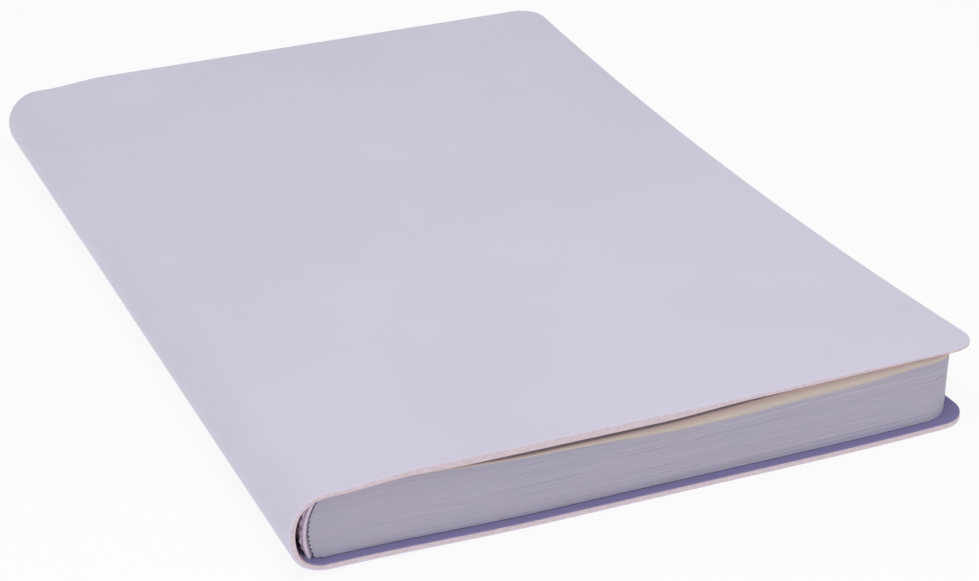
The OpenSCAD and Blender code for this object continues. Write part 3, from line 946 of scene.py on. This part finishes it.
def make_band(context, name, node, end_y, inward, material):
    """A band at one end of the leaves' back. Its bead is a tube along a circle whose radius
    swells once for each stitch, slanted round the tube, and closes in a half round at each end.
    Its tape is a shell glued over the cloth. It flares at its end and is crinkled as the product of
    two slanting sines. inward is +1 at the tail and -1 at the head."""
    leaves = context.scene.planner_leaves
    spine = context.scene.planner_spine
    path = leaves.back_round + spine.cloth_thick + spine.bead_radius
    low, high = clear_span(context, path, spine.bead_radius + spine.clearance)
    bead_low, _ = clear_span(context, path, spine.clearance, spine.bead_reach)
    closing = 0.9 * spine.bead_radius
    distance = np.linspace(bead_low * path - closing, high * path + closing, 181)[:, None]
    past = np.maximum(0.0, np.maximum(bead_low * path - distance, distance - high * path)) / closing
    taper = np.sqrt(np.maximum(0.0, 1.0 - past ** 2))
    round_turn = np.linspace(0.0, 2.0 * math.pi, 20, endpoint=False)[None]
    stitch = np.abs(np.sin(math.pi * distance / spine.stitch + 0.5 * round_turn))
    radius = spine.bead_radius * taper * (0.86 + 0.14 * stitch)
    x, z = back_arc(leaves, path + radius * np.cos(round_turn), distance / path)
    y = end_y + inward * radius * np.sin(round_turn)
    tube = stack(x, y, z)
    count = tube.shape[0] * tube.shape[1]
    index = np.arange(count).reshape(tube.shape[:2])
    tube_faces = grid_quads(index[1:-1], closed=True)
    ends = [stack(*[tube[row, :, axis].mean() for axis in range(3)]) for row in (0, -1)]
    fans = [np.stack([np.roll(index[1], -1), index[1], np.full(20, count), np.full(20, -1)], -1),
            np.stack([index[-2], np.roll(index[-2], -1), np.full(20, count + 1), np.full(20, -1)], -1)]
    if inward > 0:
        tube_faces = tube_faces[:, ::-1]
        fans = [f[:, [1, 0, 2, 3]] for f in fans]
    turn = np.linspace(low, high, 90)[None]
    rounding = 0.08 * MM
    tape_y = end_y + inward * np.linspace(0.1 * MM, spine.tape_width - rounding, 48)[:, None]
    shells = []
    base = leaves.back_round + spine.cloth_thick
    inner = np.abs(tape_y - end_y)
    fine = np.sin(turn * 31.0 + inner / (0.45 * MM))
    broad = np.sin(turn * 13.0 - inner / (0.6 * MM))
    crinkle = 0.75 + 0.25 * fine * broad
    middle = 1.0 - ((2.0 * turn - low - high) / (high - low)) ** 10
    flare = spine.tape_flare * crinkle * middle * (1.0 - 0.7 * smooth_step((inner - 0.4 * MM) / (2.4 * MM)))
    for shell in (base + spine.tape_thick + flare, base):
        x, z = back_arc(leaves, shell, turn)
        shells.append(stack(x, tape_y, z))
    if inward < 0:
        shells = [s[::-1] for s in shells]
    tape, tape_faces, _ = slab(shells[0], shells[1], rounding)
    points = np.concatenate([tube.reshape(-1, 3), np.array(ends), tape])
    faces = np.concatenate([tube_faces, *fans, tape_faces + count + 2])
    piece = make_piece(name, points, faces, [material], sharp=70.0)
    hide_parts(node)
    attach(piece, "page_body")
    return piece


# The stage

def aim(azimuth, elevation):
    """The camera's backward, rightward and upward directions."""
    back = np.array([math.sin(azimuth) * math.cos(elevation), -math.cos(azimuth) * math.cos(elevation),
                     math.sin(elevation)])
    right = unit(np.cross(-back, [0.0, 0.0, 1.0]))
    return back, right, np.cross(right, -back)


def turned_to(right, up, back, where):
    """The matrix of an object with these three axes and this place."""
    rows = [[float(column[row]) for column in (right, up, back, where)] for row in range(3)]
    return Matrix(rows + [[0.0, 0.0, 0.0, 1.0]])


def make_camera(stage):
    """The camera, from its angles, its distance and the point that it looks at."""
    back, right, up = aim(stage.azimuth, stage.elevation)
    turned_right = math.cos(stage.roll) * right + math.sin(stage.roll) * up
    turned_up = math.cos(stage.roll) * up - math.sin(stage.roll) * right
    target = place(np.array([stage.target_x, stage.target_y, 0.0]))
    where = target + back * stage.distance
    lens = bpy.data.cameras.new("studio_camera")
    lens.sensor_width = 36.0
    lens.sensor_fit = "HORIZONTAL"
    lens.lens = stage.lens
    lens.clip_start = 0.01
    lens.clip_end = 20.0
    camera = bpy.data.objects.new("studio_camera", lens)
    camera.matrix_world = turned_to(turned_right, turned_up, back, where)
    bpy.context.scene.collection.objects.link(camera)
    bpy.context.scene.camera = camera


def make_lamp(name, watts, size, azimuth, elevation, distance):
    """A soft square lamp that looks at the planner from an angle."""
    back, right, up = aim(math.radians(azimuth), math.radians(elevation))
    light = bpy.data.lights.new(name, "AREA")
    light.energy = watts
    light.size = size
    lamp = bpy.data.objects.new(name, light)
    lamp.matrix_world = turned_to(right, up, back, back * distance)
    bpy.context.scene.collection.objects.link(lamp)


def seen_white(tree):
    """1 for rays from the camera and for mirror and clear rays, 0 for the light on the object."""
    path = add_node(tree, "LightPath")
    seen = math_node(tree, "ADD", path.outputs["Is Camera Ray"], path.outputs["Is Glossy Ray"])
    seen = math_node(tree, "ADD", seen, path.outputs["Is Transmission Ray"])
    return math_node(tree, "MINIMUM", seen, 1.0)


def make_floor(stage):
    """A pale floor, lit from below as in a light tent. It looks white from the camera and keeps
    a faint shadow of the planner."""
    material = bpy.data.materials.new("pale_floor")
    material.use_nodes = True
    tree = material.node_tree
    tree.nodes.remove(tree.nodes["Principled BSDF"])
    seen = seen_white(tree)
    matt = add_node(tree, "BsdfDiffuse", color=(*stage.floor, 1.0))
    level = add_node(tree, "MapRange", value=seen, to_min=stage.floor_glow, to_max=1.0)
    glow = add_node(tree, "Emission", color=(1.0, 1.0, 1.0, 1.0), strength=level.outputs["Result"])
    share = add_node(tree, "MapRange", value=seen, to_min=0.7, to_max=0.85)
    mix = add_node(tree, "MixShader", fac=share.outputs["Result"])
    tree.links.new(matt.outputs[0], mix.inputs[1])
    tree.links.new(glow.outputs[0], mix.inputs[2])
    tree.links.new(mix.outputs[0], tree.nodes["Material Output"].inputs["Surface"])
    mesh = bpy.data.meshes.new("studio_floor")
    half = 3.0
    mesh.from_pydata([(-half, -half, 0.0), (half, -half, 0.0), (half, half, 0.0), (-half, half, 0.0)], [],
                     [(0, 1, 2, 3)])
    mesh.materials.append(material)
    floor = bpy.data.objects.new("studio_floor", mesh)
    bpy.context.scene.collection.objects.link(floor)


def make_sky(stage):
    """Even light from all round, seen as white by the camera."""
    world = bpy.data.worlds.new("studio")
    world.use_nodes = True
    tree = world.node_tree
    background = tree.nodes["Background"]
    background.inputs["Color"].default_value = (1.0, 1.0, 1.0, 1.0)
    level = tree.nodes.new("ShaderNodeMapRange")
    tree.links.new(seen_white(tree), level.inputs["Value"])
    level.inputs["To Min"].default_value = stage.sky_light
    level.inputs["To Max"].default_value = 1.0
    tree.links.new(level.outputs["Result"], background.inputs["Strength"])
    bpy.context.scene.world = world


# Operators

class PLANNER_OT_stage(Operator):
    """Make the camera, the light and the floor"""
    bl_idname = "planner.make_stage"
    bl_label = "Stage"

    def execute(self, context):
        stage = context.scene.planner_stage
        context.scene.view_settings.view_transform = "Standard"
        make_camera(stage)
        make_sky(stage)
        make_floor(stage)
        make_lamp("key_lamp", stage.key_light, 0.35, -20.0, 70.0, 0.5)
        make_lamp("fill_lamp", stage.fill_light, 0.4, -8.0, 12.0, 0.8)
        return {"FINISHED"}


class PLANNER_OT_cover(Operator):
    """Make the wrap-around cover sheet, in two halves that meet under the spine"""
    bl_idname = "planner.make_cover"
    bl_label = "Cover"

    def execute(self, context):
        cover = context.scene.planner_cover
        skin = skin_material(cover)
        backing = backing_material(cover)
        make_cover_front(context, skin, backing)
        make_cover_back(context, skin, backing)
        return {"FINISHED"}


class PLANNER_OT_linings(Operator):
    """Make the papers pasted inside the two covers"""
    bl_idname = "planner.make_linings"
    bl_label = "Linings"

    def execute(self, context):
        leaves = context.scene.planner_leaves
        paper = paper_material("blue_lining", leaves.lining)
        make_lining(context, "front_lining_paper", "front_lining", paper,
                    leaves.front_lining_inset, 1)
        make_lining(context, "back_lining_paper", "back_lining", paper,
                    BACK_LINING_INSET, -1)
        return {"FINISHED"}


class PLANNER_OT_flyleaves(Operator):
    """Make the loose leaf at each side of the block"""
    bl_idname = "planner.make_flyleaves"
    bl_label = "Flyleaves"

    def execute(self, context):
        cover = context.scene.planner_cover
        leaves = context.scene.planner_leaves
        cream = paper_material("cream_paper", leaves.paper)
        # Painted shade: the front flyleaf's edges are a darker, browner cream, for the shade under the
        # cover's edge.
        cream_in_painted_shade = paper_material("painted_shade_paper_edge", shade(painted_shade_cream(leaves), 0.8))
        # Painted light: the back flyleaf's edges take the tint made half as light again, to lighten the
        # shadowed gap under the leaves.
        tinted = paper_material("tint_edge_painted_light", shade(leaves.tint, 1.5))
        make_flyleaf(context, "front_flyleaf_sheet", "front_flyleaf", [cream, cream_in_painted_shade],
                     0.0, lambda x, y: block_top(cover, leaves, x, y),
                     lambda x, y: flyleaf_top(cover, leaves, x, y))
        make_flyleaf(context, "back_flyleaf_sheet", "back_flyleaf", [cream, tinted],
                     BACK_FLYLEAF_INSET,
                     lambda x, y: back_leaf_under(cover, leaves, x) + 0.0 * y,
                     lambda x, y: block_under(cover, leaves, x) + 0.0 * y)
        return {"FINISHED"}


class PLANNER_OT_pages(Operator):
    """Make the bound leaves, with their rounded back and hollow fore edge"""
    bl_idname = "planner.make_pages"
    bl_label = "Leaves"

    def execute(self, context):
        make_pages(context, leaf_edge_material(context.scene.planner_leaves))
        return {"FINISHED"}


class PLANNER_OT_spine(Operator):
    """Make the cloth on the back of the leaves and the bands at its two ends"""
    bl_idname = "planner.make_spine"
    bl_label = "Spine cloth and bands"

    def execute(self, context):
        spine = context.scene.planner_spine
        make_spine_cloth(context, woven_material("spine_cotton", spine.cloth, 0.5 * MM))
        band = woven_material("band_cotton", spine.band, 0.3 * MM)
        make_band(context, "tail_band_bead", "tail_band", END_SQUARE, 1.0, band)
        make_band(context, "head_band_bead", "head_band", COVER_LENGTH - END_SQUARE, -1.0, band)
        return {"FINISHED"}


class PLANNER_PT_sidebar(Panel):
    """The planner's steps and sizes"""
    bl_idname = "PLANNER_PT_sidebar"
    bl_label = "Planner"
    bl_space_type = "VIEW_3D"
    bl_region_type = "UI"
    bl_category = "Planner"

    def draw(self, context):
        layout = self.layout
        for step in STEPS:
            layout.operator(step.bl_idname)
        for group in GROUPS:
            settings = getattr(context.scene, group)
            box = layout.box()
            for name in settings.bl_rna.properties.keys()[2:]:
                box.prop(settings, name)


GROUPS = {
    "planner_cover": PlannerCover,
    "planner_leaves": PlannerLeaves,
    "planner_spine": PlannerSpine,
    "planner_stage": PlannerStage,
}
STEPS = (PLANNER_OT_stage, PLANNER_OT_cover, PLANNER_OT_linings, PLANNER_OT_flyleaves, PLANNER_OT_pages,
         PLANNER_OT_spine)


def register():
    for kind in (*GROUPS.values(), *STEPS, PLANNER_PT_sidebar):
        bpy.utils.register_class(kind)
    for name, kind in GROUPS.items():
        setattr(bpy.types.Scene, name, PointerProperty(type=kind))


def unregister():
    for name in GROUPS:
        delattr(bpy.types.Scene, name)
    for kind in reversed((*GROUPS.values(), *STEPS, PLANNER_PT_sidebar)):
        bpy.utils.unregister_class(kind)


def main():
    register()
    bpy.ops.planner.make_stage()
    bpy.ops.planner.make_cover()
    bpy.ops.planner.make_linings()
    bpy.ops.planner.make_flyleaves()
    bpy.ops.planner.make_pages()
    bpy.ops.planner.make_spine()


if __name__ == "__main__":
    main()
